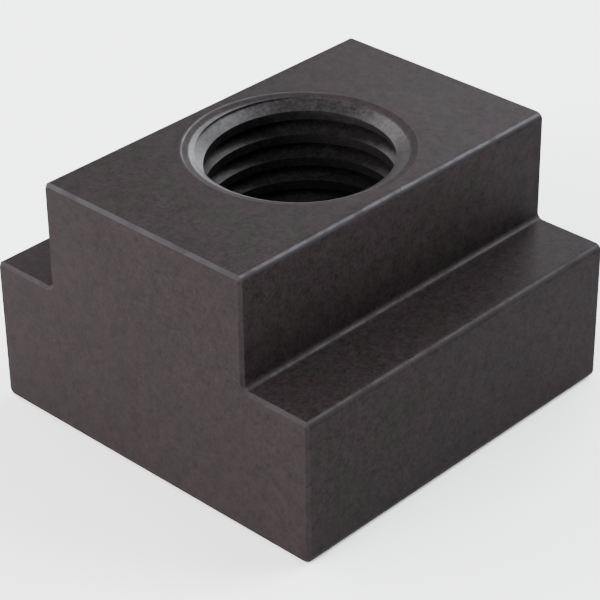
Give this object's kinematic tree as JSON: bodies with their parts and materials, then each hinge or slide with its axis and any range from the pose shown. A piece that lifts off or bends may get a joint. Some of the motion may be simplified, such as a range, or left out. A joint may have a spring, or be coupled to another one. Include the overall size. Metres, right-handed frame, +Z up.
{
  "type": "t slot nut",
  "caption": "Tapped T-section steel block that slides in a machine table's T slot and takes a clamping stud or bolt from above.",
  "frame": {"origin": "on the thread's axis, at the level of the flat bottom face", "axes": "+Z up along the thread, out of the slot; +Y along the slot and the nut's length; +X across the slot"},
  "size_m": [0.032, 0.0324, 0.021],
  "materials": {
    "black_oxide_steel": "milled steel with a satin black oxide finish, rubbed brighter along its edges and in the countersink"
  },
  "bodies": {
    "root": {"nut_body": "black_oxide_steel"}
  },
  "joints": []
}
